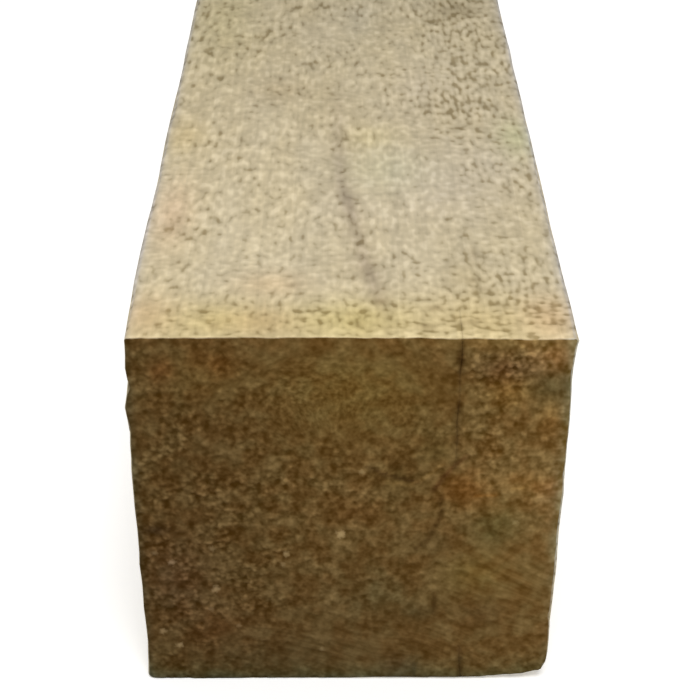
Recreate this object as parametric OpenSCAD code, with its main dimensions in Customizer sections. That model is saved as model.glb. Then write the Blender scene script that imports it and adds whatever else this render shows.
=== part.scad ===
// Sawn softwood post.
// One square length of timber, sawn out of a tapered log. Its four faces and two ends
// are flat, and its long arrises are worn round. The arris furthest from the pith keeps
// a strip of the log's own round, called wane, where the log was too small for the
// square. Drying has opened short splits, called checks, in the near end.
//
// The post lies along Y on its bottom face, with Z up and the near end at -Y. The origin
// is the middle of the bottom face. Sizes are in millimetres.

/* [Stock] */
// Width of the section, left to right
section_w = 100; // [75:5:200]
// Height of the section as the post lies
section_h = 100; // [75:5:200]
// Length from end to end
post_length = 1800; // [900:100:3600]

/* [Worn arrises] */
// Radius of the upper left arris
upper_left_r = 1.2; // [0.5:0.1:6]
// Radius of the upper right arris
upper_right_r = 0.8; // [0.5:0.1:6]
// Radius of the lower left arris
lower_left_r = 1.8; // [0.5:0.1:6]
// Radius of the lower right arris, where it has no wane
lower_right_r = 2; // [0.5:0.1:6]

/* [Log] */
// Pith to the right of the section's middle, so a minus is to the left
pith_right = -4; // [-20:1:20]
// Pith above the section's middle
pith_up = 16; // [-25:1:25]
// Depth of the wane at the near end, along the radius through its arris
wane_depth = 3.3; // [0.5:0.1:12]
// Distance from the near end over which the wane runs out
wane_run = 850; // [200:50:3000]

/* [Upper check] */
// Distance of the check's mouth from the right face
upper_check_inset = 25.2; // [10:0.2:35]
// Depth on the end, down from the top face
upper_check_depth = 35; // [5:1:60]
// Run along the top face, in from the end
upper_check_run = 12; // [3:1:200]
// Width of the mouth
upper_check_mouth = 0.8; // [0.3:0.1:4]
// Sideways lean of the root, towards the left
upper_check_lean = 0.5; // [-8:0.5:8]

/* [Lower check] */
// Distance of the check's mouth from the right face
lower_check_inset = 22; // [10:0.2:35]
// Depth on the end, up from the bottom face
lower_check_depth = 11; // [5:1:60]
// Run along the bottom face, in from the end
lower_check_run = 8; // [3:1:200]
// Width of the mouth
lower_check_mouth = 0.7; // [0.3:0.1:4]
// Sideways lean of the root, towards the left
lower_check_lean = 0.5; // [-8:0.5:8]

/* [Hidden] */
$fn = 96;
timber_colour = [0.79, 0.71, 0.56];

near_y = -post_length / 2;
far_y = post_length / 2;
right_x = section_w / 2;
left_x = -right_x;

// The log's axis, and its radius along the post. At the end of the wane's run the log
// has grown just wide enough to reach the arris furthest from the pith.
pith = [pith_right, section_h / 2 + pith_up];
arrises = [[left_x, 0], [right_x, 0], [left_x, section_h], [right_x, section_h]];
furthest_arris = max([for (a = arrises) norm(a - pith)]);
log_taper = wane_depth / wane_run;
function log_radius(y) = furthest_arris - wane_depth + log_taper * (y - near_y);

// The log is longer than the post by this much at each end, so that its own ends are
// clear of the cut ones.
log_overlength = 20;

// The section's outline: straight sides between the worn arrises, which are arcs.
module section() {
    polygon([
        [left_x + lower_left_r, 0], [right_x - lower_right_r, 0],
        [right_x, lower_right_r], [right_x, section_h - upper_right_r],
        [right_x - upper_right_r, section_h], [left_x + upper_left_r, section_h],
        [left_x, section_h - upper_left_r], [left_x, lower_left_r],
    ]);
    translate([left_x + lower_left_r, lower_left_r]) circle(lower_left_r);
    translate([right_x - lower_right_r, lower_right_r]) circle(lower_right_r);
    translate([left_x + upper_left_r, section_h - upper_left_r]) circle(upper_left_r);
    translate([right_x - upper_right_r, section_h - upper_right_r]) circle(upper_right_r);
}

// The section sawn square to length.
module sawn_length() {
    translate([0, far_y, 0]) rotate([90, 0, 0]) linear_extrude(post_length) section();
}

// The tapered log that the length was sawn from.
module log_round() {
    translate([pith.x, near_y - log_overlength, pith.y])
        rotate([-90, 0, 0])
            cylinder(
                h = post_length + 2 * log_overlength,
                r1 = log_radius(near_y - log_overlength),
                r2 = log_radius(far_y + log_overlength)
            );
}

// A check: a wedge that opens to the near end and to one face, and closes along a line
// from its root on the end to its tip on the face. The mouth is drawn out past the
// corner of the post along the wedge's own sides, so that the cut is clean.
module check(mouth_x, face_z, into_z, depth, run, mouth, lean) {
    root = [mouth_x - lean, near_y, face_z + into_z * depth];
    tip = [mouth_x, near_y + run, face_z];
    middle = (root + tip) / 2;
    corner = [mouth_x, near_y, face_z];
    outer = 2 * corner - middle;
    outer_half_mouth = [mouth, 0, 0];
    sides = [outer - outer_half_mouth, outer + outer_half_mouth];
    points = [sides[0], sides[1], root, tip];
    faces = [[0, 1, 2], [1, 0, 3], [0, 2, 3], [2, 1, 3]];
    flipped = [for (f = faces) [f[0], f[2], f[1]]];
    polyhedron(points, into_z < 0 ? faces : flipped);
}

module post() {
    color(timber_colour) difference() {
        intersection() {
            sawn_length();
            log_round();
        }
        check(
            right_x - upper_check_inset, section_h, -1, upper_check_depth,
            upper_check_run, upper_check_mouth, upper_check_lean
        );
        check(
            right_x - lower_check_inset, 0, 1, lower_check_depth,
            lower_check_run, lower_check_mouth, lower_check_lean
        );
    }
}

post();
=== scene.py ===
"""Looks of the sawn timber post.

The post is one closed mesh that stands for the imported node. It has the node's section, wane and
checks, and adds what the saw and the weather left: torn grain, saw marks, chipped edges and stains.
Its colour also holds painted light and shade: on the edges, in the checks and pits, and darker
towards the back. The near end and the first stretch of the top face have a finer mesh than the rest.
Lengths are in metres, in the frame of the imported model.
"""

import math

import bpy
import numpy as np
from mathutils import Matrix, Vector


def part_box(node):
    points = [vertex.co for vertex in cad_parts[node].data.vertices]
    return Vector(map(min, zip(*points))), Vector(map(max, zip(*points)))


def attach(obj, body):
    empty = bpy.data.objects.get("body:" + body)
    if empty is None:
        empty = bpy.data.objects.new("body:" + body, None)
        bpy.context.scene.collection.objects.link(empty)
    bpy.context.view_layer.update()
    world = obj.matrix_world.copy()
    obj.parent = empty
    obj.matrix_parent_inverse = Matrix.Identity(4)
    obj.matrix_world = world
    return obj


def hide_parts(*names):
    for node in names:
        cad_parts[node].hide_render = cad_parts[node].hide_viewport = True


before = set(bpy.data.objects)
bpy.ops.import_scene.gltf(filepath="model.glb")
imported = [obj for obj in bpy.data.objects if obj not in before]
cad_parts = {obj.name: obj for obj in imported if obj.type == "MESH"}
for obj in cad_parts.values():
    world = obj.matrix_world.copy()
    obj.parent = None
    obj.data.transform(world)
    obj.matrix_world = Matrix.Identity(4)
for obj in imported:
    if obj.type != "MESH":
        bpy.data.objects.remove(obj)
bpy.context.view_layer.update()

# The post's box. The near end faces -Y, and the post lies on its bottom face. Places
# closer than a touch count as the same.
MM = 0.001
TOUCH = 0.01 * MM
(LEFT, NEAR, BOTTOM), (RIGHT, FAR, TOP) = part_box("post")
WIDTH, LENGTH, HEIGHT = RIGHT - LEFT, FAR - NEAR, TOP - BOTTOM

# The section's four sides, clockwise from the top as seen at the near end. Each has a
# direction to run in, an outward normal, and at its end a corner with a worn arris.
TOP_SIDE, RIGHT_SIDE, BOTTOM_SIDE, LEFT_SIDE = range(4)
DIRECTIONS = np.array([(1, 0), (0, -1), (-1, 0), (0, 1)], float)
NORMALS = np.array([(0, 1), (1, 0), (0, -1), (-1, 0)], float)
CORNERS = np.array([(RIGHT, TOP), (RIGHT, BOTTOM), (LEFT, BOTTOM), (LEFT, TOP)])
ARRIS_R = np.array([0.8, 2.0, 1.8, 1.2]) * MM
SIDE_SIZES = np.array([WIDTH, HEIGHT, WIDTH, HEIGHT])

# Distances round the outline at which each straight starts and ends, from the start of the
# top's straight. The upper left arris comes before it.
STRAIGHTS = SIDE_SIZES - ARRIS_R - np.roll(ARRIS_R, 1)
ARCS = ARRIS_R * math.pi / 2
STRAIGHT_AT = np.concatenate([[0], np.cumsum(STRAIGHTS + ARCS)])
ARC_AT = STRAIGHT_AT[:4] + STRAIGHTS
PERIMETER = STRAIGHT_AT[4]
ARRIS_BEFORE = np.concatenate([[ARC_AT[LEFT_SIDE] - PERIMETER], ARC_AT[:3]])

# The log: its pith, and the wane that it left on the arris furthest from the pith
PITH = np.array([LEFT + 46 * MM, BOTTOM + 66 * MM])
WANE_DEPTH = 3.3 * MM
WANE_RUN = 850 * MM
LOG_R = max(np.linalg.norm(CORNERS - PITH, axis=1)) - WANE_DEPTH

# The two checks in the near end: where their mouths are, their depth on the end, their run
# along the face, and half the width of the fine line that they show as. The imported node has
# wider mouths.
UPPER_CHECK = {"x": LEFT + 74.8 * MM, "depth": 35 * MM, "run": 12 * MM, "half": 0.02 * MM}
LOWER_CHECK = {"x": LEFT + 78 * MM, "depth": 11 * MM, "run": 8 * MM, "half": 0.02 * MM}
# The least that a check is open along the face, as a share of half its line
CHECK_TIP = 0.12
# It also wanders by an amount, over a distance, with a seed. The mesh is pulled to it from
# around.
CHECK_LINE_Z = BOTTOM + np.array([0, 10, 22, 50, 63, 100]) * MM
CHECK_LINE_X = LEFT + np.array([78, 77.5, 71.2, 71.5, 74.4, 74.8]) * MM
CHECK_WANDER = (0.25 * MM, 6 * MM, 31)
CHECK_PULL = 12 * MM
# How far the checks gape at depths on the end, as a share of half their line
GAPE_DEPTH = np.array([0, 3, 5, 8, 10, 16, 18, 23, 25, 28, 31]) * MM
GAPE = np.array([0.4, 0.8, 1.0, 1.0, 0.2, 0.15, 0.7, 0.8, 0.35, 0.6, 0.1])

# The mesh: the length of the near stretch, and the steps over each side and along the post.
# The near top and near end are fine, and the near top's steps grow along the post.
FINE_LENGTH = 242 * MM
FINE_STEPS = 146
FINE_RINGS = 310
FINE_GROWTH = 0.9
ROUGH_STEPS = 28
ROUGH_RINGS = 44
FAR_STEPS = 20
FAR_RINGS = 60
ARRIS_STEPS = 6
# The bevel round both ends, and the gap between stretches that triangles fill
EDGE_WEAR = 0.35 * MM
SEAM = 1.0 * MM

# Dents and bumps in the edge of the near end. Each has its side, its place in millimetres
# from the left face or the floor, half its length, and how far it stands out.
EDGE_DENTS = [
    (LEFT_SIDE, 98, 7, -0.50), (LEFT_SIDE, 87.2, 1.9, -0.85), (LEFT_SIDE, 80.8, 2.2, 0.45),
    (LEFT_SIDE, 75, 2.5, -0.30), (LEFT_SIDE, 43, 3, -0.20), (LEFT_SIDE, 12, 13, -0.42),
    (RIGHT_SIDE, 100, 1.4, 0.40), (RIGHT_SIDE, 91, 5, -0.42), (RIGHT_SIDE, 63, 1.5, -0.25),
    (RIGHT_SIDE, 47, 6, -0.42), (RIGHT_SIDE, 20.5, 1.0, -0.45), (RIGHT_SIDE, 24, 18, -0.40),
    (TOP_SIDE, 48, 22, 0.30), (TOP_SIDE, 92, 12, -0.15), (BOTTOM_SIDE, 13, 14, 0.30),
]
# The chipped lower right corner of the near end, in millimetres from the left face and from
# the floor: the line of its underside, and then the line of its right side
CHIP_UNDER_X = np.array([40, 60, 80, 85.7, 90.7, 93.2, 95.6, 98.1])
CHIP_UNDER_Z = np.array([0, 0.10, 0.30, 0.90, 1.25, 1.50, 2.2, 2.5])
CHIP_RIGHT_Z = np.array([2.5, 4.8, 5.6, 6.8, 13, 40])
CHIP_RIGHT_X = np.array([98.5, 98.8, 99.5, 99.75, 99.9, 100])
CHIP_RUN = 14 * MM

# Unevenness of the surface: how far it goes in or out, the size of its features round the
# section and along the post, and a seed. The ragged edge of the near end runs out along the
# post. Chips in the arrises are where their noise is over a level.
EDGE_RAGS = [(0.10 * MM, 4 * MM, 11), (0.06 * MM, 1.6 * MM, 12)]
EDGE_RUN = 14 * MM
SWELLS = [(0.12 * MM, [25 * MM, 110 * MM, 1], 21), (0.22 * MM, [40 * MM, 13 * MM, 1], 23)]
ARRIS_CHIPS = (0.9 * MM, [9 * MM, 7 * MM, 1], 22)
ARRIS_CHIP_LEVEL = 0.25
# The most that the surface stands out over the plain section
MOST_PROUD = 0.5 * MM


def wander(points, size, seed):
    """Smooth noise from -1 to 1 at points, with features about as large as size."""
    cells = 32
    table = np.random.default_rng(seed).uniform(-1, 1, (cells, cells, cells))
    at = points / np.asarray(size)
    cell = np.floor(at).astype(int)
    part = at - cell
    part = part * part * (3 - 2 * part)
    total = np.zeros(points.shape[:-1])
    for corner in np.ndindex(2, 2, 2):
        weight = np.prod(np.where(corner, part, 1 - part), axis=-1)
        spot = (cell + corner) % cells
        total += weight * table[spot[..., 0], spot[..., 1], spot[..., 2]]
    return total


def outline(s):
    """Points and outward normals of the section at distances s round it."""
    s = np.asarray(s) % PERIMETER
    point = np.zeros(s.shape + (2,))
    normal = np.zeros(s.shape + (2,))
    for k, (d, n, r) in enumerate(zip(DIRECTIONS, NORMALS, ARRIS_R)):
        on = (s >= STRAIGHT_AT[k]) & (s < ARC_AT[k])
        start = CORNERS[k - 1] + ARRIS_R[k - 1] * d
        point[on] = start + (s[on] - STRAIGHT_AT[k])[:, None] * d
        normal[on] = n
        on = (s >= ARC_AT[k]) & (s < STRAIGHT_AT[k + 1])
        angle = ((s[on] - ARC_AT[k]) / r)[:, None]
        turned = np.cos(angle) * n + np.sin(angle) * d
        point[on] = CORNERS[k] - r * (d + n) + r * turned
        normal[on] = turned
    return point, normal


def waned(point, y):
    """Points of the section, cut back to the round of the tapered log."""
    away = point - PITH
    distance = np.linalg.norm(away, axis=-1)
    radius = LOG_R + WANE_DEPTH * (y - NEAR) / WANE_RUN
    return PITH + away * np.minimum(1, radius / np.maximum(distance, MM))[..., None]


def edge_wave(s):
    """How far the section stands out at the near end, where the edge is worn and ragged."""
    point, normal = outline(s)
    at = np.stack([s % PERIMETER, 0 * s, 0 * s], -1)
    wave = sum(depth * wander(at, size, seed) for depth, size, seed in EDGE_RAGS)
    for side, place, half, height in EDGE_DENTS:
        axis = np.abs(DIRECTIONS[side])
        place_mm = (point - [LEFT, BOTTOM]) @ axis / MM
        facing = np.clip(normal @ NORMALS[side], 0, 1)
        wave += height * MM * facing * np.exp(-(((place_mm - place) / half) ** 2))
    return wave


def chipped(point, share):
    """Points of the section, with a share of the chip in the lower right corner cut away."""
    across, up = np.moveaxis((point - [LEFT, BOTTOM]) / MM, -1, 0)
    across = np.minimum(across, np.interp(up, CHIP_RIGHT_Z, CHIP_RIGHT_X))
    up = np.maximum(up, np.interp(across, CHIP_UNDER_X, CHIP_UNDER_Z))
    cut = [LEFT, BOTTOM] + np.stack([across, up], -1) * MM
    return point + (cut - point) * np.asarray(share)[..., None]


def steps(start, end, count):
    """Evenly spaced values from start up to, but without, end."""
    return np.linspace(start, end, count, endpoint=False)


def side_stops(k, count, check=None):
    """Distances along a side's arris and straight. A check adds two steps at its mouth."""
    arris = steps(ARRIS_BEFORE[k], STRAIGHT_AT[k], ARRIS_STEPS)
    if check is None:
        return np.concatenate([arris, steps(STRAIGHT_AT[k], ARC_AT[k], count)])
    start = CORNERS[k - 1] + ARRIS_R[k - 1] * DIRECTIONS[k]
    at = STRAIGHT_AT[k] + abs(check["x"] - start[0])
    before = round(count * (at - STRAIGHT_AT[k]) / STRAIGHTS[k])
    return np.concatenate([
        arris,
        steps(STRAIGHT_AT[k], at - check["half"], before),
        [at - check["half"], at],
        steps(at + check["half"], ARC_AT[k], count - before),
    ])


class MeshParts:
    """Collects grids of points and the faces between them, as one mesh."""

    def __init__(self):
        self.points, self.normals, self.around, self.faces, self.count = [], [], [], [], 0

    def add(self, points, normals, around):
        """Adds a grid of points, with their distances round the section. Returns their numbers."""
        shape = points.shape[:-1]
        size = int(np.prod(shape))
        self.points.append(points.reshape(-1, 3))
        self.normals.append(np.broadcast_to(normals, points.shape).reshape(-1, 3))
        self.around.append(np.broadcast_to(around, shape).ravel())
        self.count += size
        return np.arange(self.count - size, self.count).reshape(shape)

    def grid(self, ids, flip=False):
        """Quads between neighbouring rows and columns of numbers."""
        quads = np.stack([ids[:-1, :-1], ids[:-1, 1:], ids[1:, 1:], ids[1:, :-1]], -1)
        quads = quads.reshape(-1, 4)
        self.faces += (quads[:, ::-1] if flip else quads).tolist()

    def zip(self, a, at_a, b, at_b, flip=False):
        """Triangles between two rows of numbers whose places have the same start and end."""
        i = j = 0
        while i < len(a) - 1 or j < len(b) - 1:
            if j == len(b) - 1 or (i < len(a) - 1 and at_a[i + 1] <= at_b[j + 1]):
                triangle = [a[i], a[i + 1], b[j]]
                i += 1
            else:
                triangle = [a[i], b[j + 1], b[j]]
                j += 1
            self.faces.append(triangle[::-1] if flip else triangle)

    def zip_round(self, a, at_a, b, at_b):
        """Triangles between two closed rows, each given by its numbers and places."""
        a, b = np.append(a, a[0]), np.append(b, b[0])
        self.zip(a, np.append(at_a, at_a[0] + PERIMETER), b, np.append(at_b, at_b[0] + PERIMETER))


def long_faces(s, y):
    """Points and normals of the long faces: a row for each y, a column for each s."""
    section, normal = outline(s)
    shape = (len(y), len(s))
    along = np.broadcast_to(y[:, None], shape)
    out = np.broadcast_to(normal, shape + (2,))
    near_wave = edge_wave(s) * np.exp(-(along - NEAR) / EDGE_RUN)
    at = np.stack([np.broadcast_to(s % PERIMETER, shape), along, 0 * along], -1)
    swell = sum(depth * wander(at, size, seed) for depth, size, seed in SWELLS)
    at_arris = 2 * np.abs(out[..., 0] * out[..., 1])
    depth, size, seed = ARRIS_CHIPS
    chips = np.clip(wander(at, size, seed) - ARRIS_CHIP_LEVEL, 0, 1) * depth * at_arris
    section = waned(np.broadcast_to(section, shape + (2,)), along)
    section = chipped(section, np.exp(-(along - NEAR) / CHIP_RUN))
    section = section + out * np.minimum(near_wave + swell - chips, MOST_PROUD)[..., None]
    section[..., 1] = np.maximum(section[..., 1], BOTTOM)
    points = np.stack([section[..., 0], along, section[..., 1]], -1)
    normals = np.stack([out[..., 0], 0 * along, out[..., 1]], -1)
    return points, normals


def end_grid(sides, y, wave):
    """Points of an end, filled in between the four sides of its edge, top row first.

    The wave is the share of the near end's dents and chip that the end has.
    """
    s = np.concatenate(sides)
    section, normal = outline(s)
    section = chipped(waned(section, np.full(len(s), y)), np.full(len(s), wave))
    section = section - normal * (EDGE_WEAR - wave * edge_wave(s))[:, None]
    section[:, 1] = np.maximum(section[:, 1], BOTTOM)
    half = ARRIS_STEPS // 2
    edge = np.roll(section, -half, axis=0)
    edge = np.concatenate([edge, edge[:1]])
    n, m = len(sides[TOP_SIDE]), len(sides[RIGHT_SIDE])
    top, right = edge[: n + 1], edge[n : n + m + 1]
    bottom, left = edge[n + m : 2 * n + m + 1][::-1], edge[2 * n + m :][::-1]
    u = np.linspace(0, 1, n + 1)[None, :, None]
    v = np.linspace(0, 1, m + 1)[:, None, None]
    rows = (1 - v) * top + v * bottom
    columns = (1 - u) * left[:, None] + u * right[:, None]
    corners = (1 - v) * ((1 - u) * top[0] + u * top[-1]) + v * ((1 - u) * bottom[0] + u * bottom[-1])
    grid = rows + columns - corners
    points = np.stack([grid[..., 0], np.full(grid.shape[:2], y), grid[..., 1]], -1)
    return points, s


def edge_of(ids):
    """The numbers round a grid, from the start of its first arris."""
    loop = np.concatenate([ids[0, :-1], ids[:-1, -1], ids[-1, :0:-1], ids[:0:-1, 0]])
    return np.roll(loop, ARRIS_STEPS // 2)


def open_check(points, column, check, face_z, into):
    """Pushes the middle of three columns of the near end in to the root of a check."""
    z = points[:, column, 2]
    depth = (z - face_z) * into
    share = np.clip(1 - depth / check["depth"], 0, 1)
    half = check["half"] * np.interp(depth, GAPE_DEPTH, GAPE)
    inside = share > 0
    for side in (-1, 1):
        points[inside, column + side, 0] = (points[:, column, 0] + side * half)[inside]
    path = share * check["depth"] / (check["depth"] + check["run"])
    points[:, column, 1] += np.where(inside, check["run"] * path, 0)
    root_z = face_z + into * check["depth"] * (1 - path)
    points[:, column, 2] = np.where(inside, root_z, z)


def open_run(points, column, check, face_z, into):
    """Does the same on the long face that the check opens to."""
    along = points[:, column, 1] - NEAR
    share = np.clip(1 - along / check["run"], 0, 1)
    half = check["half"] * np.maximum(share, CHECK_TIP)
    inside = share > 0
    for side in (-1, 1):
        points[inside, column + side, 0] = (check["x"] - side * into * half)[inside]
    path = 1 - share * check["run"] / (check["depth"] + check["run"])
    points[:, column, 0] = np.where(inside, check["x"], points[:, column, 0])
    points[:, column, 1] = np.where(inside, NEAR + check["run"] * path, points[:, column, 1])
    root_z = face_z + into * check["depth"] * (1 - path)
    points[:, column, 2] = np.where(inside, root_z, points[:, column, 2])


def nearest(values, target):
    """The number of the value that is nearest to a target."""
    return int(np.argmin(np.abs(values - target)))


def follow_check_line(points, column):
    """Pulls a column of the near end, and the points around it, to the line of the checks."""
    at = points[:, column].copy()
    amount, size, seed = CHECK_WANDER
    line = np.interp(at[:, 2], CHECK_LINE_Z, CHECK_LINE_X)
    line += amount * wander(at, size, seed) * np.clip((TOP - at[:, 2]) / size, 0, 1)
    nearness = np.exp(-(((points[..., 0] - at[:, None, 0]) / CHECK_PULL) ** 2))
    points[..., 0] += (line - at[:, 0])[:, None] * nearness


def add_near_top(parts):
    """Adds the near stretch of the top face with its two arrises."""
    arris = np.linspace(ARC_AT[TOP_SIDE], STRAIGHT_AT[RIGHT_SIDE], ARRIS_STEPS + 1)
    s = np.concatenate([side_stops(TOP_SIDE, FINE_STEPS, UPPER_CHECK), arris])
    share = np.linspace(0, 1, FINE_RINGS + 1)
    share = share * (1 + FINE_GROWTH * share) / (1 + FINE_GROWTH)
    y = NEAR + EDGE_WEAR + (FINE_LENGTH - EDGE_WEAR) * share
    points, normals = long_faces(s, y)
    mouth = UPPER_CHECK["x"] - LEFT - ARRIS_R[LEFT_SIDE]
    open_run(points, nearest(s, mouth), UPPER_CHECK, TOP, -1)
    ids = parts.add(points, normals, s)
    parts.grid(ids)
    return ids, s, y


def add_near_rest(parts):
    """Adds the near stretch of the other three faces."""
    right = side_stops(RIGHT_SIDE, ROUGH_STEPS)[ARRIS_STEPS:]
    s = np.concatenate([
        np.maximum(right, STRAIGHT_AT[RIGHT_SIDE] + SEAM),
        side_stops(BOTTOM_SIDE, ROUGH_STEPS, LOWER_CHECK),
        side_stops(LEFT_SIDE, ROUGH_STEPS),
        [ARC_AT[LEFT_SIDE] - SEAM],
    ])
    y = np.linspace(NEAR + EDGE_WEAR, NEAR + FINE_LENGTH, ROUGH_RINGS + 1)
    points, normals = long_faces(s, y)
    mouth = STRAIGHT_AT[BOTTOM_SIDE] + RIGHT - ARRIS_R[RIGHT_SIDE] - LOWER_CHECK["x"]
    open_run(points, nearest(s, mouth), LOWER_CHECK, BOTTOM, 1)
    ids = parts.add(points, normals, s)
    parts.grid(ids)
    return ids, s, y


def add_near_end(parts):
    """Adds the near end with its checks. Returns its edge."""
    sides = [
        side_stops(TOP_SIDE, FINE_STEPS, UPPER_CHECK), side_stops(RIGHT_SIDE, FINE_STEPS),
        side_stops(BOTTOM_SIDE, FINE_STEPS, LOWER_CHECK), side_stops(LEFT_SIDE, FINE_STEPS),
    ]
    points, s = end_grid(sides, NEAR, 1)
    column = nearest(points[0, :, 0], UPPER_CHECK["x"])
    follow_check_line(points, column)
    open_check(points, column, UPPER_CHECK, TOP, -1)
    open_check(points, column, LOWER_CHECK, BOTTOM, 1)
    ids = parts.add(points, (0, -1, 0), 0)
    parts.grid(ids, flip=True)
    return edge_of(ids), s


def build_post():
    """The whole surface of the post, as a MeshParts."""
    parts = MeshParts()
    top, top_s, top_y = add_near_top(parts)
    rest, rest_s, rest_y = add_near_rest(parts)
    parts.zip(top[:, -1], top_y, rest[:, 0], rest_y, flip=True)
    parts.zip(rest[:, -1], rest_y, top[:, 0], top_y, flip=True)
    near_s = np.concatenate([top_s, rest_s])

    far_sides = [side_stops(k, FAR_STEPS) for k in range(4)]
    far_s = np.concatenate(far_sides)
    far_y = np.linspace(NEAR + FINE_LENGTH + SEAM, FAR - EDGE_WEAR, FAR_RINGS + 1)
    points, normals = long_faces(far_s, far_y)
    far = parts.add(points, normals, far_s)
    parts.grid(np.concatenate([far, far[:, :1]], axis=1))
    parts.zip_round(np.concatenate([top[-1], rest[-1]]), near_s, far[0], far_s)

    near_edge, near_edge_s = add_near_end(parts)
    parts.zip_round(near_edge, near_edge_s, np.concatenate([top[0], rest[0]]), near_s)
    points, far_edge_s = end_grid(far_sides, FAR, 0)
    ids = parts.add(points, (0, 1, 0), 0)
    parts.grid(ids)
    parts.zip_round(far[-1], far_s, edge_of(ids), far_edge_s)
    return parts


# Places on the near stretch are in millimetres. On the top face they are measured from the
# left face and from the near end, on the near end from the left face and from the floor.
# Each stain has its middle, its half widths and a tint that multiplies the wood's colour.
TOP_STAINS = [
    ((20, 8), (10, 9), (1.04, 1.00, 0.80)), ((50, 8), (14, 9), (1.02, 1.00, 0.76)),
    ((80, 10), (18, 12), (1.03, 0.99, 0.86)), ((4, 10), (6, 9), (1.04, 0.95, 0.90)),
    ((95, 9), (6, 10), (1.04, 0.94, 0.92)), ((32, 24), (8, 6), (1.05, 0.97, 0.90)),
    ((6, 60), (5, 18), (1.05, 0.95, 0.92)), ((5, 107), (6, 10), (1.03, 0.99, 0.88)),
    ((60, 86), (12, 14), (0.97, 1.01, 0.96)), ((96, 106), (5, 12), (0.92, 1.00, 0.90)),
    ((57, 107), (8, 8), (1.04, 1.03, 0.92)), ((55, 196), (6, 20), (0.97, 0.99, 1.03)),
    ((10, 200), (12, 40), (0.97, 0.97, 0.86)), ((85, 208), (8, 11), (0.73, 0.72, 0.70)),
    ((80, 125), (18, 16), (0.92, 0.915, 0.92)), ((85, 60), (18, 45), (0.92, 0.92, 0.91)),
    ((74, 80), (20, 24), (0.98, 1.00, 1.13)), ((31, 7), (8, 7), (0.91, 0.84, 0.77)),
    ((78, 28), (7, 7), (0.91, 0.89, 0.83)), ((30, 139), (8, 11), (0.87, 0.84, 0.79)),
    ((71, 143), (9, 14), (1.05, 1.06, 1.13)),
]
# A dark streak along the top face: distances from the near end, and how far from the left
# face and how deep it is there. Each of its widths has a share of the tint.
STREAK_Y = np.array([8, 16, 33, 42, 54, 61, 68, 78, 121, 150])
STREAK_X = np.array([58, 57, 54.2, 53, 51.4, 50.6, 49.7, 48, 47, 46.5])
STREAK_DEPTH = np.array([0.2, 0.9, 1.5, 1.0, 1.0, 1.4, 1.55, 1.2, 0.6, 0])
STREAK_WIDTHS = [(1.8, 0.38), (4.5, 0.20)]
STREAK_TINT = (0.63, 0.60, 0.63)
# Tints at the front of the long faces, at the lip of the top face, on its arrises and towards its
# back, and how far each reaches. The front's yellowing is the wood's own. The lip has a painted
# highlight, the arrises have the grey of wear with painted shade, and the faces grow darker towards
# the back with painted shade.
FRONT_TINT, FRONT_REACH = (1.01, 0.983, 0.88), 16
LIP_HIGHLIGHT, LIP_REACH = (1.16, 1.17, 1.20), 2.5
LIP_ACROSS, LIP_SHARE = (0, 50, 80), (0.5, 0.4, 1.0)
ARRIS_WEAR_AND_SHADE, ARRIS_REACH = (0.93, 0.98, 1.16), 1.9
BACK_SHADE, BACK_START, BACK_RUN = (0.77, 0.77, 0.765), 60, 150
# How torn the grain of the top face is: more or less than the base in each place
TORN_BASE = 0.35
TORN_PLACES = [
    ((82, 124), (18, 18), 0.34), ((85, 203), (12, 14), 0.46), ((15, 200), (18, 40), 0.16),
    ((85, 14), (20, 14), 0.48), ((58, 8), (24, 8), 0.22), ((15, 12), (20, 14), 0.12),
    ((37, 8), (10, 6), 0.32), ((88, 60), (14, 60), 0.14), ((86, 165), (14, 40), 0.34),
    ((64, 76), (13, 34), -0.55), ((51, 62), (3, 26), 0.40), ((22, 95), (24, 50), -0.14),
]
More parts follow.
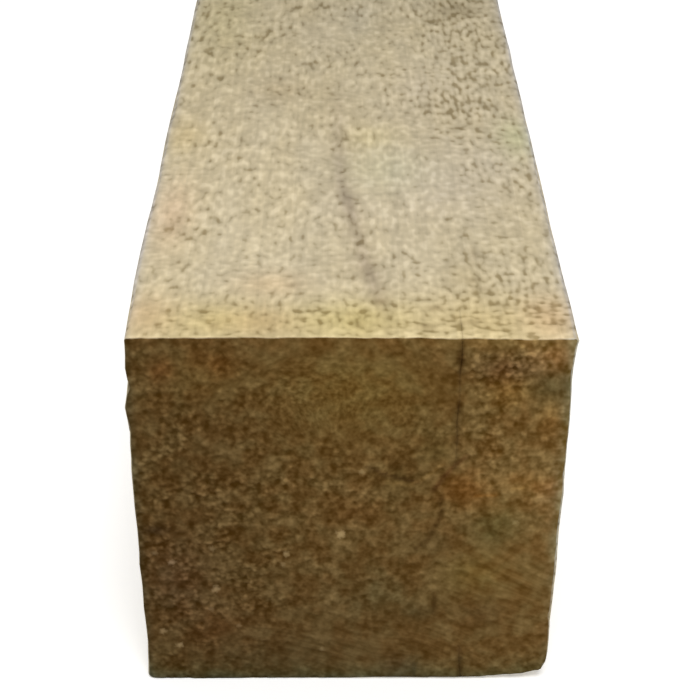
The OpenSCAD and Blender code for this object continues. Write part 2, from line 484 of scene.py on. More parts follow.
# Single dark pits in the top face, with their half widths and how dark they are: dark dirt together
# with painted shade of the hollow
MARKS = [
    ((57, 16), (1.8, 1.7), 0.55), ((69.5, 13), (1.7, 1.4), 0.5), ((67, 5), (1.9, 1.3), 0.45),
    ((80, 39), (0.8, 4.5), 0.5), ((79, 26), (2.0, 1.3), 0.35), ((81, 22), (2.4, 1.1), 0.3),
    ((20, 5), (1.2, 1.4), 0.45), ((37, 23), (1.6, 1.2), 0.35), ((50, 10), (1.0, 1.4), 0.35),
    ((91, 14), (1.6, 1.4), 0.4), ((52, 6), (0.9, 1.6), 0.4), ((77, 7), (2.6, 1.4), 0.35),
]
MARK_DIRT_AND_SHADE = (0.36, 0.30, 0.22)
END_STAINS = [
    ((52, 84), (18, 12), (1.10, 1.14, 0.98)), ((76.7, 59), (6, 5), (1.23, 1.05, 0.90)),
    ((85.8, 85.8), (5, 4), (1.20, 1.14, 0.96)), ((85, 92), (8, 3.5), (0.80, 0.72, 0.80)),
    ((85, 99), (16, 2), (1.35, 1.38, 1.35)), ((45, 99), (22, 2), (1.16, 1.12, 1.10)),
    ((20, 94), (5, 4), (1.10, 0.94, 0.85)), ((8, 91), (3, 4), (1.10, 0.90, 0.85)),
    ((8, 32), (8, 13), (0.90, 0.85, 0.99)), ((18, 17), (7, 6), (1.06, 0.92, 0.88)),
    ((57, 27), (7, 7), (0.86, 0.99, 1.08)), ((67.5, 21.5), (4, 2.5), (0.76, 0.86, 0.95)),
    ((84.5, 47.7), (5, 5), (0.70, 0.85, 0.83)), ((95.3, 79.8), (3, 5), (1.14, 1.04, 0.90)),
    ((80, 34), (7, 6), (1.06, 1.12, 0.98)), ((94, 59), (4, 3), (1.16, 1.08, 1.0)),
    ((95, 87), (5, 5), (0.70, 0.80, 0.86)), ((4.6, 47), (3, 1.5), (0.50, 0.50, 0.55)),
    ((14, 50), (18, 40), (0.84, 0.82, 0.84)), ((30, 18), (50, 22), (0.86, 0.86, 0.90)),
    ((90, 66), (14, 26), (1.22, 1.22, 1.22)), ((90, 33), (14, 12), (1.09, 1.11, 1.10)),
    ((33, 7), (28, 8), (0.82, 0.85, 0.90)), ((91, 61), (7, 2.5), (1.25, 1.20, 1.15)),
    ((97, 4), (6, 4), (0.80, 0.93, 1.0)), ((50, 91), (20, 8), (1.11, 1.12, 1.07)),
    ((16, 90), (10, 7), (1.12, 1.12, 1.02)), ((70, 70), (4.5, 5), (0.78, 0.78, 0.68)),
    ((61, 62), (5, 5), (0.72, 0.70, 0.60)), ((51.5, 53), (5, 6), (1.0, 0.91, 0.85)),
    ((86, 53), (5, 4), (1.05, 1.12, 1.14)), ((71, 43), (5, 5), (0.92, 0.92, 0.94)),
    ((83, 21.5), (6, 4), (0.80, 0.76, 0.74)), ((94.5, 95), (4, 3.5), (1.65, 1.55, 1.7)),
    ((96.5, 59), (3, 3), (1.12, 1.10, 1.25)), ((63, 4), (5, 4), (0.80, 0.86, 1.04)),
]
# Light specks on the near end: their middles, about half their widths and their strengths
SPECKS = [
    ((48.3, 45.6), 1.3, 0.9), ((7.9, 37.1), 1.0, 0.9), ((18.1, 29.0), 1.1, 0.8),
    ((8.5, 11.1), 1.0, 0.8), ((4.6, 15.7), 1.0, 0.6), ((35.2, 39.8), 1.0, 0.6),
    ((53.1, 63.9), 0.9, 0.5), ((89.2, 49.2), 0.9, 0.3),
    ((17.6, 41.3), 0.9, 0.5), ((16.7, 22.7), 0.9, 0.4), ((23.3, 17.3), 0.8, 0.4),
    ((43.6, 9.9), 0.8, 0.4), ((3.8, 40), 0.9, 0.4), ((34.5, 36.5), 0.9, 0.4),
]
SPECK_COLOUR = (0.44, 0.31, 0.14, 1)
# Painted light: the near end gets lighter by this share from its middle to the right, as if lit from
# the right
END_LIGHT_SLOPE = 0.14
# Painted light and shade along the rims of the near end, and how far each reaches: bluish painted
# shade on the left rim, a bluish painted highlight of sky light on the right arris, and painted shade
# along the bottom where the end meets the floor. The right rim fades downwards between two heights.
LEFT_RIM_SHADE, LEFT_RIM_REACH = (0.78, 0.96, 1.25), 1.7
RIGHT_RIM_LIGHT, RIGHT_RIM_REACH = (1.40, 1.85, 2.8), 1.9
RIGHT_RIM_UP, RIGHT_RIM_SHARE = (20, 42), (0.25, 1)
BOTTOM_RIM_SHADES = [((0.72, 0.98, 1.15), 4.0), ((0.80, 0.85, 1.10), 1.2)]
# Painted shade along the dark line of the checks, and how strong the lower check's is at heights
CHECK_SHADE, CHECK_REACH = (0.38, 0.30, 0.18), 0.8
LOWER_CHECK_UP, LOWER_CHECK_SHARE = (0, 10, 12), (0.6, 0.4, 0)
# Where the near end shows arcs of the rings, stripes of the saw, and torn grain
ARC_BASE = 0.1
ARC_PLACES = [
    ((46, 86), (26, 15), 0.7), ((26, 76), (14, 16), 0.35), ((66, 76), (8, 14), 0.35),
    ((46, 64), (14, 13), -0.8),
]
STRIPE_PLACES = [((88, 31), (17, 15), 0.65), ((46, 11), (38, 10), 0.65)]
GRAINY_BASE = 0.15
GRAINY_PLACES = [
    ((12, 48), (22, 55), 0.45), ((84, 93), (9, 6), 0.85), ((48, 60), (22, 10), 0.22),
    ((82, 74), (14, 12), 0.35), ((28, 30), (14, 12), 0.2),
]
# Lines on the near end: the places they run through, half their width and their tint
END_LINES = [
    ([(54, 65.5), (60, 62.6), (66, 61)], 0.5, (0.55, 0.48, 0.42)),
    ([(59, 61.3), (64, 60), (68, 62.5), (71.5, 66)], 0.45, (1.40, 1.40, 1.45)),
    ([(76.9, 68.3), (74.2, 65.6), (72, 62.5), (69.7, 58.7)], 0.7, (0.66, 0.54, 0.48)),
    ([(71.6, 56.5), (71.6, 51.5), (70, 46.5), (68.7, 43.8), (66, 41.5)], 0.7, (0.60, 0.54, 0.44)),
    ([(71.1, 27.5), (70.9, 22)], 0.7, (0.60, 0.54, 0.44)),
    ([(93.5, 58), (96, 55.5), (99, 52.5)], 0.7, (1.30, 1.35, 1.50)),
    ([(79.8, 57.2), (84.3, 57.4)], 0.45, (1.40, 1.30, 1.20)),
    ([(88, 59.2), (90.3, 59.2)], 0.5, (1.35, 1.35, 1.35)),
    ([(66.5, 0), (66.5, 5)], 0.5, (0.70, 0.75, 0.80)),
]
# The middle of the round saw that cut the near end, from the marks it left
SAW_CENTRE = np.array([LEFT - 4 * MM, BOTTOM - 150 * MM])
# The relief fades out over this length, up to the end of the near stretch
FINE_FADE = 12


def fall(distance, reach):
    """One at no distance, falling off smoothly over about a reach."""
    return np.exp(-((distance / reach) ** 2))


def bell(at, middle, half):
    """One at the middle, falling off smoothly over the half widths."""
    return np.exp(-np.sum(((at - np.array(middle)) / np.array(half)) ** 2, axis=-1))


def tinted(tint, colour, share):
    """A tint with a share of one more colour multiplied into it."""
    return tint * (1 + (np.array(colour) - 1) * share[:, None])


def places(at, spots, base):
    """A base value with the amounts of all spots added."""
    return np.clip(base + sum(more * bell(at, middle, half) for middle, half, more in spots), 0, 1)


def line_distance(at, line):
    """Distance of points from a line that runs through several places."""
    least = np.full(len(at), np.inf)
    for start, end in zip(np.array(line[:-1], float), np.array(line[1:], float)):
        way = end - start
        share = np.clip((at - start) @ way / (way @ way), 0, 1)
        least = np.minimum(least, np.linalg.norm(at - start - share[:, None] * way, axis=1))
    return least


def face_stains_and_painted_light(at, on_top):
    """Tints of the long faces: stains, a painted highlight at the lip, and painted shade on the
    arrises and towards the back. The share of a point that is on the top has stains and pits.
    """
    tint = np.ones((len(at), 3))
    for middle, half, colour in TOP_STAINS:
        tint = tinted(tint, colour, on_top * bell(at, middle, half))
    # Dirt and painted shade of single pits
    for middle, half, depth in MARKS:
        tint = tinted(tint, MARK_DIRT_AND_SHADE, on_top * depth * bell(at, middle, half))
    across, along = at.T
    off_streak = across - np.interp(along, STREAK_Y, STREAK_X)
    streak = sum(share * fall(off_streak, half) for half, share in STREAK_WIDTHS)
    tint = tinted(tint, STREAK_TINT, on_top * np.interp(along, STREAK_Y, STREAK_DEPTH) * streak)
    tint = tinted(tint, FRONT_TINT, fall(along, FRONT_REACH))
    # Painted highlight along the lip of the top face
    lip = on_top * np.interp(across, LIP_ACROSS, LIP_SHARE)
    tint = tinted(tint, LIP_HIGHLIGHT, lip * fall(along, LIP_REACH))
    # Grey of wear with painted shade along the top's arrises
    from_arris = np.minimum(across, WIDTH / MM - across)
    tint = tinted(tint, ARRIS_WEAR_AND_SHADE, on_top * fall(from_arris, ARRIS_REACH))
    # Painted shade: the faces darken towards the back
    return tinted(tint, BACK_SHADE, np.clip((along - BACK_START) / BACK_RUN, 0, 1))


def end_stains_and_painted_light(at):
    """Tints of the near end: stain patches and lines, painted light that grows to the right, painted
    light and shade on its rims, and painted shade along the line of the checks.
    """
    tint = np.ones((len(at), 3))
    for middle, half, colour in END_STAINS:
        tint = tinted(tint, colour, bell(at, middle, half))
    for line, half, colour in END_LINES:
        tint = tinted(tint, colour, fall(line_distance(at, line), half))
    across, up = at.T
    # Painted light that grows towards the right of the near end
    middle = WIDTH / MM / 2
    tint *= (1 + END_LIGHT_SLOPE * (across - middle) / middle)[:, None]
    # Painted shade on the left rim, a painted highlight on the right rim and painted shade along the
    # bottom rim
    tint = tinted(tint, LEFT_RIM_SHADE, fall(across, LEFT_RIM_REACH))
    right_rim = np.interp(up, RIGHT_RIM_UP, RIGHT_RIM_SHARE)
    right_rim *= fall(WIDTH / MM - across, RIGHT_RIM_REACH)
    tint = tinted(tint, RIGHT_RIM_LIGHT, right_rim)
    for colour, reach in BOTTOM_RIM_SHADES:
        tint = tinted(tint, colour, fall(up, reach))
    # Painted shade of the checks' hollows
    line = (np.interp(BOTTOM + up * MM, CHECK_LINE_Z, CHECK_LINE_X) - LEFT) / MM
    upper = np.interp(HEIGHT / MM - up, GAPE_DEPTH / MM, GAPE, right=0)
    lower = np.interp(up, LOWER_CHECK_UP, LOWER_CHECK_SHARE)
    return tinted(tint, CHECK_SHADE, fall(across - line, CHECK_REACH) * np.maximum(upper, lower))


def set_attribute(mesh, name, values):
    """Stores a number or a vector for each point of the mesh."""
    kind, key = ("FLOAT", "value") if values.ndim == 1 else ("FLOAT_VECTOR", "vector")
    attribute = mesh.attributes.new(name, kind, "POINT")
    attribute.data.foreach_set(key, np.ascontiguousarray(values, np.float32).ravel())


def mark_points(mesh, points, normals):
    """Gives each point what the relief and the material need to know of it."""
    from_corner = (points - [LEFT, NEAR, BOTTOM]) / MM
    on_face, on_end = from_corner[:, [0, 1]], from_corner[:, [0, 2]]
    ends = np.abs(normals[:, 1]) > 0.5
    near_end = normals[:, 1] < -0.5
    on_top = np.clip(normals[:, 2], 0, 1)
    # These tints hold stains together with painted light and shade
    stains_and_painted_light = face_stains_and_painted_light(on_face, on_top)
    stains_and_painted_light[ends] = 1
    stains_and_painted_light[near_end] = end_stains_and_painted_light(on_end[near_end])
    # Grey of wear with painted shade on the arrises, which turn away from the sun
    stains_and_painted_light = tinted(stains_and_painted_light, ARRIS_WEAR_AND_SHADE, 2 * np.abs(normals[:, 0] * normals[:, 2]))
    fade = np.clip((FINE_LENGTH / MM - on_face[:, 1]) / FINE_FADE, 0, 1)
    flat_end = near_end & (points[:, 1] < NEAR + TOUCH)
    arcs = places(on_end, ARC_PLACES, ARC_BASE)
    stripes = places(on_end, STRIPE_PLACES, 0)
    grainy = places(on_end, GRAINY_PLACES, GRAINY_BASE)
    marks = {
        "flat_co": points, "out": normals, "stains_and_painted_light": stains_and_painted_light, "end_grain": ends.astype(float),
        "torn": places(on_face, TORN_PLACES, TORN_BASE),
        "end_marks": np.stack([arcs, stripes, grainy], -1),
        "fine": np.where(flat_end, 1.0, on_top * fade),
    }
    for name, values in marks.items():
        set_attribute(mesh, name, values)


class Nodes:
    """Adds nodes to a tree. Inputs are sockets or plain values, results are sockets."""

    def __init__(self, tree):
        self.tree = tree

    def add(self, kind, inputs, output=0, **settings):
        node = self.tree.nodes.new(kind)
        for name, value in settings.items():
            setattr(node, name, value)
        for key, value in inputs.items():
            if isinstance(value, bpy.types.NodeSocket):
                self.tree.links.new(value, node.inputs[key])
            else:
                node.inputs[key].default_value = value
        return node.outputs[output]

    def attribute(self, name, vector=False):
        if self.tree.bl_idname == "GeometryNodeTree":
            kind = "FLOAT_VECTOR" if vector else "FLOAT"
            return self.add("GeometryNodeInputNamedAttribute", {"Name": name}, data_type=kind)
        output = "Vector" if vector else "Fac"
        return self.add("ShaderNodeAttribute", {}, output, attribute_name=name)

    def math(self, operation, *values):
        return self.add("ShaderNodeMath", dict(enumerate(values)), operation=operation)

    def vector(self, operation, *values, output=0):
        inputs = dict(enumerate(values))
        return self.add("ShaderNodeVectorMath", inputs, output, operation=operation)

    def pack(self, x, y, z):
        return self.add("ShaderNodeCombineXYZ", {0: x, 1: y, 2: z})

    def part(self, vector, axis):
        return self.add("ShaderNodeSeparateXYZ", {0: vector}, axis)

    def noise(self, place, size, detail=2.0):
        """Noise from 0 to 1 with features of a size, in millimetres, along each axis."""
        at = self.vector("DIVIDE", place, [axis * MM for axis in size])
        return self.add("ShaderNodeTexNoise", {"Vector": at, "Scale": 1.0, "Detail": detail})

    def cells(self, place, size):
        """Distance in X and Z to the nearest of many scattered points, in shares of a size."""
        flat = self.pack(self.part(place, "X"), self.part(place, "Z"), 0.0)
        at = self.vector("DIVIDE", flat, (size, size, 1.0))
        return self.add("ShaderNodeTexVoronoi", {"Vector": at, "Scale": 1.0}, voronoi_dimensions="2D")

    def ramp(self, value, start, end, low=0.0, high=1.0):
        """Goes smoothly from low to high as value goes from start to end."""
        return self.add(
            "ShaderNodeMapRange",
            {"Value": value, "From Min": start, "From Max": end, "To Min": low, "To Max": high},
            interpolation_type="SMOOTHSTEP",
        )

    def blend(self, factor, a, b):
        return self.add("ShaderNodeMix", {0: factor, 2: a, 3: b}, data_type="FLOAT")

    def tint(self, factor, a, b):
        return self.add("ShaderNodeMix", {0: factor, 6: a, 7: b}, 2, data_type="RGBA")

    def product(self, *values):
        total = values[0]
        for value in values[1:]:
            total = self.math("MULTIPLY", total, value)
        return total

    def shaded(self, colour, shade):
        return self.add("ShaderNodeVectorMath", {0: colour, "Scale": shade}, operation="SCALE")


def weighted(nodes, *pairs):
    """Sum of values, each times its weight."""
    total = nodes.product(*pairs[0])
    for value, weight in pairs[1:]:
        total = nodes.math("MULTIPLY_ADD", value, weight, total)
    return total


# Far from the near end the torn grain is longer, by one over a share. It gets so with a fade.
DRAWN_SHARE = 0.45
DRAWN_FADE = 110 * MM
# Rings: their width, and how far they are bent
RING_WIDTH = 3.2 * MM
RING_BEND = 10 * MM
# Saw marks on the long faces: their pitch, and how far they sway, as an angle
SAW_PITCH = 4.6 * MM
SAW_SWAY = 9.0
# Arcs on the ends: how far they are bent, the radius that their length is measured on, and
# the width and length, in millimetres, of the noise that they are drawn with
ARC_BEND = 6 * MM
ARC_RADIUS = 60 * MM
RING_ARC = (1.4, 4)
SAW_ARC = (1.5, 4)
# A shift of the noise that keeps the crumbs of the ends unlike their grain
CRUMB_SHIFT = (17 * MM, 5 * MM, 29 * MM)
# Heights of the relief: of lumps, pits, tufts and saw marks on the long faces, of grain, bits
# and pits on the ends, and the height that is level with the plain faces
FACE_HEIGHTS = (0.20 * MM, -0.10 * MM, 0.04 * MM, 0.06 * MM)
END_HEIGHTS = (0.35 * MM, 0.15 * MM, -0.15 * MM)
LEVEL_HEIGHT = 0.25 * MM
FUZZ_HEIGHT = 0.04 * MM
# Colours in linear light: two tones of the long faces, their tufts and pits with the shares that they
# have, and for the ends the dark and the light of two browns. The pits' colour is dark dirt together
# with painted shade of the hollows.
FACE_TONES = (0.607, 0.509, 0.326, 1), (0.603, 0.513, 0.344, 1)
TUFT_COLOUR, TUFT_SHARE = (0.80, 0.70, 0.515, 1), 0.25
PIT_DIRT_AND_SHADE, PIT_SHARE = (0.215, 0.143, 0.034, 1), 0.54
REDDISH_BROWNS = (0.071, 0.032, 0.0034, 1), (0.304, 0.181, 0.064, 1)
OLIVE_BROWNS = (0.065, 0.033, 0.0041, 1), (0.287, 0.187, 0.070, 1)
# How light an end is between its two tones: weights of grain, mottle, bits and pits, the
# value where grain and mottle are even, and a power that spreads the light ones
GRAIN_WEIGHT, MOTTLE_WEIGHT, BITS_WEIGHT, PITS_WEIGHT = 1.2, 0.6, 0.52, -0.32
EVEN_TONE = 0.468
TONE_POWER = 1.6
# Where a speck starts and where it is full, as shares of about half its width
SPECK_RIM, SPECK_CORE = 1.3, 0.1


def ring_radius(nodes, place):
    """Distance from the pith, bent a little as real rings are."""
    from_pith = nodes.vector("SUBTRACT", place, (PITH[0], 0, PITH[1]))
    flat = nodes.vector("MULTIPLY", from_pith, (1, 0, 1))
    radius = nodes.vector("LENGTH", flat, output="Value")
    return nodes.math("MULTIPLY_ADD", nodes.noise(place, (38, 420, 38), 1.0), RING_BEND, radius)


def late_wood(nodes, radius):
    """One on the dark outer part of each growth ring."""
    return nodes.ramp(nodes.math("FRACT", nodes.math("DIVIDE", radius, RING_WIDTH)), 0.5, 0.95)


def drawn_out(nodes, place):
    """Places that lie closer together away from the near end, so that grain gets longer there."""
    along = nodes.math("SUBTRACT", nodes.part(place, "Y"), NEAR)
    fade = nodes.math("EXPONENT", nodes.math("DIVIDE", along, -DRAWN_FADE))
    even = nodes.math("MULTIPLY_ADD", along, DRAWN_SHARE, NEAR + (1 - DRAWN_SHARE) * DRAWN_FADE)
    y = nodes.math("MULTIPLY_ADD", fade, -(1 - DRAWN_SHARE) * DRAWN_FADE, even)
    return nodes.pack(nodes.part(place, "X"), y, nodes.part(place, "Z"))


def torn_grain(nodes, place):
    """The lumps of the torn long faces, and masks of their pits and tufts."""
    drawn = drawn_out(nodes, place)
    crumbs = nodes.noise(drawn, (1.5, 2.5, 1.5), 0.4)
    dashes = nodes.noise(drawn, (1.9, 1.6, 1.9), 0.4)
    dashed = nodes.ramp(nodes.noise(place, (20, 26, 20), 1.0), 0.40, 0.64, 0.05, 0.65)
    lumps = nodes.blend(dashed, crumbs, dashes)
    cluster = nodes.noise(place, (7, 10, 7), 1.0)
    level = weighted(nodes, (nodes.attribute("torn"), 0.22), (cluster, 0.20))
    level = nodes.math("ADD", level, 0.165)
    pits = nodes.ramp(nodes.math("SUBTRACT", level, lumps), -0.08, 0.15)
    tufts = nodes.ramp(lumps, 0.50, 0.74)
    return lumps, pits, tufts


def saw_marks(nodes, place):
    """Low ridges that a saw blade left across the long faces, from -1 to 1."""
    sway = nodes.product(nodes.noise(place, (30, 60, 30), 1.0), SAW_SWAY)
    turn = nodes.math("MULTIPLY_ADD", nodes.part(place, "Y"), 2 * math.pi / SAW_PITCH, sway)
    strength = nodes.ramp(nodes.noise(place, (22, 30, 22), 1.0), 0.42, 0.62)
    return nodes.product(nodes.math("SINE", turn), strength)


def arcs_about(nodes, place, centre, size):
    """Noise drawn out along arcs about a centre, with the width and length of its lines."""
    away = nodes.vector("SUBTRACT", place, (centre[0], 0, centre[1]))
    x, z = nodes.part(away, "X"), nodes.part(away, "Z")
    radius = nodes.vector("LENGTH", nodes.pack(x, 0.0, z), output="Value")
    bent = nodes.math("MULTIPLY_ADD", nodes.noise(place, (25, 25, 25), 1.0), ARC_BEND, radius)
    turn = nodes.product(nodes.math("ARCTAN2", x, z), ARC_RADIUS)
    return nodes.noise(nodes.pack(bent, turn, 0.0), (*size, 1), 1.0)


def end_pattern(nodes, place):
    """Grain, bits and pits of the ends. The grain is about 0.5 on average."""
    marks = nodes.attribute("end_marks", vector=True)
    cluster = nodes.ramp(nodes.noise(place, (9, 9, 9)), 0.3, 0.7, 0.5, 1.9)
    grainy = nodes.product(nodes.part(marks, "Z"), cluster)
    grain = nodes.noise(place, (1.65, 1.65, 1.65), 0.9)
    rings = arcs_about(nodes, place, PITH, RING_ARC)
    kerfs = arcs_about(nodes, place, SAW_CENTRE, SAW_ARC)
    grain = nodes.blend(nodes.part(marks, "X"), grain, rings)
    grain = nodes.blend(nodes.part(marks, "Y"), grain, kerfs)
    crumbs = nodes.noise(nodes.vector("ADD", place, CRUMB_SHIFT), (1.45, 1.45, 1.45), 0.6)
    dots = nodes.ramp(nodes.cells(place, 1.7 * MM), 0.55, 0.05, -0.3, 0.7)
    bits = weighted(nodes, (nodes.ramp(crumbs, 0.50, 0.76), 0.6), (dots, 0.55))
    bits = nodes.product(bits, grainy)
    pits = nodes.product(nodes.ramp(crumbs, 0.47, 0.24), grainy)
    return grain, bits, pits


def light_specks(nodes, place):
    """Strength of the light specks on the near end."""
    rough = nodes.ramp(nodes.noise(place, (0.9, 0.9, 0.9), 1.0), 0.3, 0.7, 0.75, 1.3)
    total = 0.0
    for (across, up), half, strength in SPECKS:
        middle = (LEFT + across * MM, NEAR, BOTTOM + up * MM)
        gap = nodes.product(nodes.vector("DISTANCE", place, middle, output=1), rough)
        speck = nodes.ramp(gap, SPECK_RIM * half * MM, SPECK_CORE * half * MM, 0.0, strength)
        total = nodes.math("MAXIMUM", speck, total)
    return total


def relief(nodes, place):
    """Height of the surface over the plain faces, on the long faces and on the ends."""
    torn_and_sawn = (*torn_grain(nodes, place), saw_marks(nodes, place))
    face = weighted(nodes, *zip(torn_and_sawn, FACE_HEIGHTS))
    end = weighted(nodes, *zip(end_pattern(nodes, place), END_HEIGHTS))
    height = nodes.blend(nodes.attribute("end_grain"), face, end)
    return nodes.math("SUBTRACT", height, LEVEL_HEIGHT)


def carve(post):
    """Moves the points of the finely meshed faces by the relief."""
    tree = bpy.data.node_groups.new("sawn_relief", "GeometryNodeTree")
    for way in ("INPUT", "OUTPUT"):
        tree.interface.new_socket("Geometry", in_out=way, socket_type="NodeSocketGeometry")
    nodes = Nodes(tree)
    height = relief(nodes, nodes.attribute("flat_co", vector=True))
    moved = nodes.product(height, nodes.attribute("fine"))
    offset = nodes.shaded(nodes.attribute("out", vector=True), moved)
    plain = nodes.add("NodeGroupInput", {})
    carved = nodes.add("GeometryNodeSetPosition", {"Geometry": plain, "Offset": offset})
    result = tree.nodes.new("NodeGroupOutput")
    tree.links.new(carved, result.inputs[0])
    post.modifiers.new("relief", "NODES").node_group = tree
    seen = post.evaluated_get(bpy.context.evaluated_depsgraph_get())
    mesh = bpy.data.meshes.new_from_object(seen)
    post.modifiers.clear()
    post.data = mesh


def face_colour(nodes, place):
    """Colour of the long faces: rings, fibres, weathering, pits and tufts."""
    lumps, pits, tufts = torn_grain(nodes, place)
    late = late_wood(nodes, ring_radius(nodes, place))
    fibre = nodes.noise(place, (0.9, 24, 0.9))
    blotch = nodes.noise(place, (5, 7, 5))
    cloud = nodes.noise(place, (17, 45, 17))
    colour = nodes.tint(nodes.ramp(cloud, 0.35, 0.65), *FACE_TONES)
    colour = nodes.tint(nodes.product(tufts, TUFT_SHARE), colour, TUFT_COLOUR)
    # Dirt and painted shade in the pits
    colour = nodes.tint(nodes.product(pits, PIT_SHARE), colour, PIT_DIRT_AND_SHADE)
    bands = nodes.noise(place, (15, 520, 15))
    worn = nodes.ramp(nodes.noise(place, (45, 130, 45)), 0.3, 0.7, 0.93, 1.07)
    plain = nodes.math("SUBTRACT", 1.0, nodes.attribute("fine"))
    weathered = nodes.product(nodes.ramp(bands, 0.3, 0.7, 0.88, 1.10), worn)
    shade = nodes.product(
        nodes.blend(plain, 1.0, weathered),
        nodes.ramp(late, 0, 1, 1.015, 0.97),
        nodes.ramp(lumps, 0.2, 0.8, 0.86, 1.13),
        nodes.ramp(fibre, 0.25, 0.75, 0.97, 1.03),
        nodes.ramp(blotch, 0.25, 0.75, 0.91, 1.08),
    )
    return nodes.shaded(colour, shade)


def end_colour(nodes, place):
    """Colour of the ends: a mottled mix of two browns, with light bits and dark pits."""
    grain, bits, pits = end_pattern(nodes, place)
    mottle = nodes.noise(place, (5.5, 5.5, 5.5), 1.5)
    tone = weighted(
        nodes,
        (grain, GRAIN_WEIGHT), (mottle, MOTTLE_WEIGHT), (bits, BITS_WEIGHT), (pits, PITS_WEIGHT),
    )
    tone = nodes.math("SUBTRACT", tone, (GRAIN_WEIGHT + MOTTLE_WEIGHT) / 2 - EVEN_TONE)
    tone = nodes.math("POWER", nodes.math("MAXIMUM", tone, 0.0), TONE_POWER)
    reddish = nodes.tint(tone, *REDDISH_BROWNS)
    olive = nodes.tint(tone, *OLIVE_BROWNS)
    brown = nodes.tint(nodes.ramp(mottle, 0.35, 0.65), reddish, olive)
    return nodes.tint(light_specks(nodes, place), brown, SPECK_COLOUR)


def timber():
    """Weathered sawn softwood with darker end grain."""
    material = bpy.data.materials.new("sawn_timber")
    material.use_nodes = True
    tree = material.node_tree
    shader = tree.nodes["Principled BSDF"]
    nodes = Nodes(tree)
    place = nodes.attribute("flat_co", vector=True)
    end = nodes.attribute("end_grain")
    colour = nodes.tint(end, face_colour(nodes, place), end_colour(nodes, place))
    # Multiplies in stains together with painted light and shade
    colour = nodes.vector("MULTIPLY", colour, nodes.attribute("stains_and_painted_light", vector=True))
    share = nodes.ramp(nodes.attribute("fine"), 0, 1, 1.0, 0.3)
    fuzz = nodes.noise(place, (0.6, 1.1, 0.6), 1.0)
    height = weighted(nodes, (relief(nodes, place), share), (fuzz, FUZZ_HEIGHT))
    bump = nodes.add("ShaderNodeBump", {"Height": height, "Strength": 1.0, "Distance": 1.0})
    tree.links.new(colour, shader.inputs["Base Color"])
    tree.links.new(bump, shader.inputs["Normal"])
    tree.links.new(nodes.ramp(fuzz, 0.3, 0.7, 0.84, 0.96), shader.inputs["Roughness"])
    shader.inputs["Specular IOR Level"].default_value = 0.04
    return material


# Blocks of the flat layout: their lower left corners and their sizes, in shares of it
TOP_BLOCK = (0.672, 0.004, 0.32, 0.65)
NEAR_BLOCK = (0.672, 0.672, 0.32, 0.32)
FAR_BLOCK = (0.004, 0.87, 0.12, 0.12)
LONG_BLOCK = (0.004, 0.004, 0.645, 0.85)


def in_block(block, u, v):
    """Places in a block of the layout, from shares of its width and height."""
    left, low, width, height = block
    return np.stack([left + width * u, low + height * v], -1)


def bake_map(mesh, points, normals, around):
    """A flat layout of the surface, with the finely meshed faces at a larger scale."""
    layer = mesh.uv_layers.new(name="OFBake")
    corner = np.zeros(len(mesh.loops), int)
    mesh.loops.foreach_get("vertex_index", corner)
    start = np.zeros(len(mesh.polygons), int)
    total = np.zeros(len(mesh.polygons), int)
    mesh.polygons.foreach_get("loop_start", start)
    mesh.polygons.foreach_get("loop_total", total)
    face = np.repeat(np.arange(len(start)), total)

    def all_of(flags):
        return np.logical_and.reduceat(flags, start)[face]

    place, out = points[corner], normals[corner, 1]
    across, along, up = ((place - [LEFT, NEAR, BOTTOM]) / [WIDTH, LENGTH, HEIGHT]).T
    near, far = all_of(out < -0.5), all_of(out > 0.5)
    on_top = around[corner] <= STRAIGHT_AT[RIGHT_SIDE] + TOUCH
    in_reach = place[:, 1] < NEAR + FINE_LENGTH + TOUCH
    top = all_of(on_top & in_reach & (np.abs(out) < 0.5))
    turn = (around[corner] - ARRIS_BEFORE[0]) / PERIMETER
    past_start = np.maximum.reduceat(turn, start)[face] > 0.75
    turn = np.where((turn < 0.25) & past_start, turn + 1, turn)
    uv = in_block(LONG_BLOCK, turn, along)
    uv[far] = in_block(FAR_BLOCK, across, up)[far]
    uv[near] = in_block(NEAR_BLOCK, across, up)[near]
    uv[top] = in_block(TOP_BLOCK, across, along * LENGTH / FINE_LENGTH)[top]
    layer.uv.foreach_set("vector", uv.astype(np.float32).ravel())


def new_object(name, data):
    """A new object in the scene."""
    made = bpy.data.objects.new(name, data)
    bpy.context.scene.collection.objects.link(made)
    return made


def make_post():
    """The post's mesh, its marks, relief and material."""
    parts = build_post()
    points, normals = np.concatenate(parts.points), np.concatenate(parts.normals)
    mesh = bpy.data.meshes.new("sawn_post")
    mesh.from_pydata(points, [], parts.faces)
    mark_points(mesh, points, normals)
    bake_map(mesh, points, normals, np.concatenate(parts.around))
    post = new_object("sawn_post", mesh)
    carve(post)
    post.data.shade_smooth()
    post.data.materials.append(timber())
    return post


# The stage: a white floor, the sky and a soft high sun in front of the near end. Sky and
# sun together give the top face a light of one, so that its colour renders as written.
SKY = 0.45
SUN_TOP = 0.55
SUN_WAY = Vector((0.05, -0.36, 0.93)).normalized()
SUN_ANGLE = math.radians(25)
FLOOR_COLOUR = (0.85, 0.85, 0.85, 1)
FLOOR_GLOW = 0.3
FLOOR_HALF = 6.0
FLOOR_GAP = 0.1 * MM


def seen_directly(nodes):
    """One for the camera's own rays and for those it sees through gloss or glass."""
    path = nodes.tree.nodes.new("ShaderNodeLightPath")
    total = nodes.math("ADD", path.outputs["Is Camera Ray"], path.outputs["Is Glossy Ray"])
    return nodes.math("MINIMUM", nodes.math("ADD", total, path.outputs["Is Transmission Ray"]), 1.0)


def make_sky():
    """A sky that lights the post evenly and is white to the camera."""
    world = bpy.data.worlds.new("white_sky")
    world.use_nodes = True
    nodes = Nodes(world.node_tree)
    background = world.node_tree.nodes["Background"]
    background.inputs["Color"].default_value = (1, 1, 1, 1)
    strength = nodes.blend(seen_directly(nodes), SKY, 1.0)
    world.node_tree.links.new(strength, background.inputs["Strength"])
    bpy.context.scene.world = world


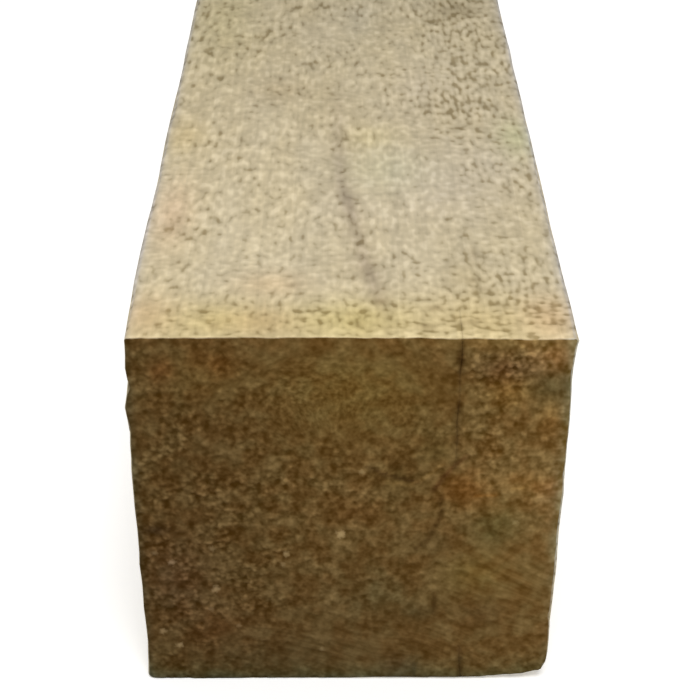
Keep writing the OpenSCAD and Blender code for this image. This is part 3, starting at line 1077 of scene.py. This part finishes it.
def make_sun():
    """A soft sun."""
    sun = bpy.data.lights.new("sun", "SUN")
    sun.energy = SUN_TOP * math.pi / SUN_WAY.z
    sun.angle = SUN_ANGLE
    lamp = new_object("sun", sun)
    lamp.rotation_euler = SUN_WAY.to_track_quat("Z", "Y").to_euler()


def make_floor():
    """A white floor that takes the post's shadow."""
    signs = [(-1, -1), (1, -1), (1, 1), (-1, 1)]
    corners = [(x * FLOOR_HALF, y * FLOOR_HALF, BOTTOM - FLOOR_GAP) for x, y in signs]
    mesh = bpy.data.meshes.new("floor")
    mesh.from_pydata(corners, [], [(0, 1, 2, 3)])
    floor = new_object("floor", mesh)
    material = bpy.data.materials.new("floor")
    material.use_nodes = True
    shader = material.node_tree.nodes["Principled BSDF"]
    looks = {
        "Base Color": FLOOR_COLOUR, "Roughness": 1.0, "Specular IOR Level": 0.0,
        "Emission Color": (1, 1, 1, 1),
    }
    for name, value in looks.items():
        shader.inputs[name].default_value = value
    nodes = Nodes(material.node_tree)
    glow = nodes.product(seen_directly(nodes), FLOOR_GLOW)
    material.node_tree.links.new(glow, shader.inputs["Emission Strength"])
    mesh.materials.append(material)


# The camera's place, lens and angles, from the lines of the post in the photo
CAMERA_AT = Vector((-1.8 * MM, NEAR - 303.6 * MM, BOTTOM + 284.6 * MM))
LENS, SENSOR = 83.6, 36
CLIP_START = 10 * MM
PITCH, YAW, ROLL = math.radians(31.72), math.radians(0.37), math.radians(0.30)


def make_camera():
    """A camera that looks down along the post."""
    ahead = Vector((math.sin(YAW), math.cos(YAW), 0))
    forward = math.cos(PITCH) * ahead - math.sin(PITCH) * Vector((0, 0, 1))
    level = Vector((math.cos(YAW), -math.sin(YAW), 0))
    right = math.cos(ROLL) * level + math.sin(ROLL) * level.cross(forward)
    up = right.cross(forward)
    data = bpy.data.cameras.new("camera")
    data.sensor_width = SENSOR
    data.lens = LENS
    data.clip_start = CLIP_START
    camera = new_object("camera", data)
    turn = Matrix((right, up, -forward)).transposed()
    camera.matrix_world = Matrix.Translation(CAMERA_AT) @ turn.to_4x4()
    bpy.context.scene.camera = camera


post = make_post()
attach(post, "root")
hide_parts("post")
make_floor()
make_sky()
make_sun()
make_camera()
bpy.context.scene.view_settings.view_transform = "Standard"
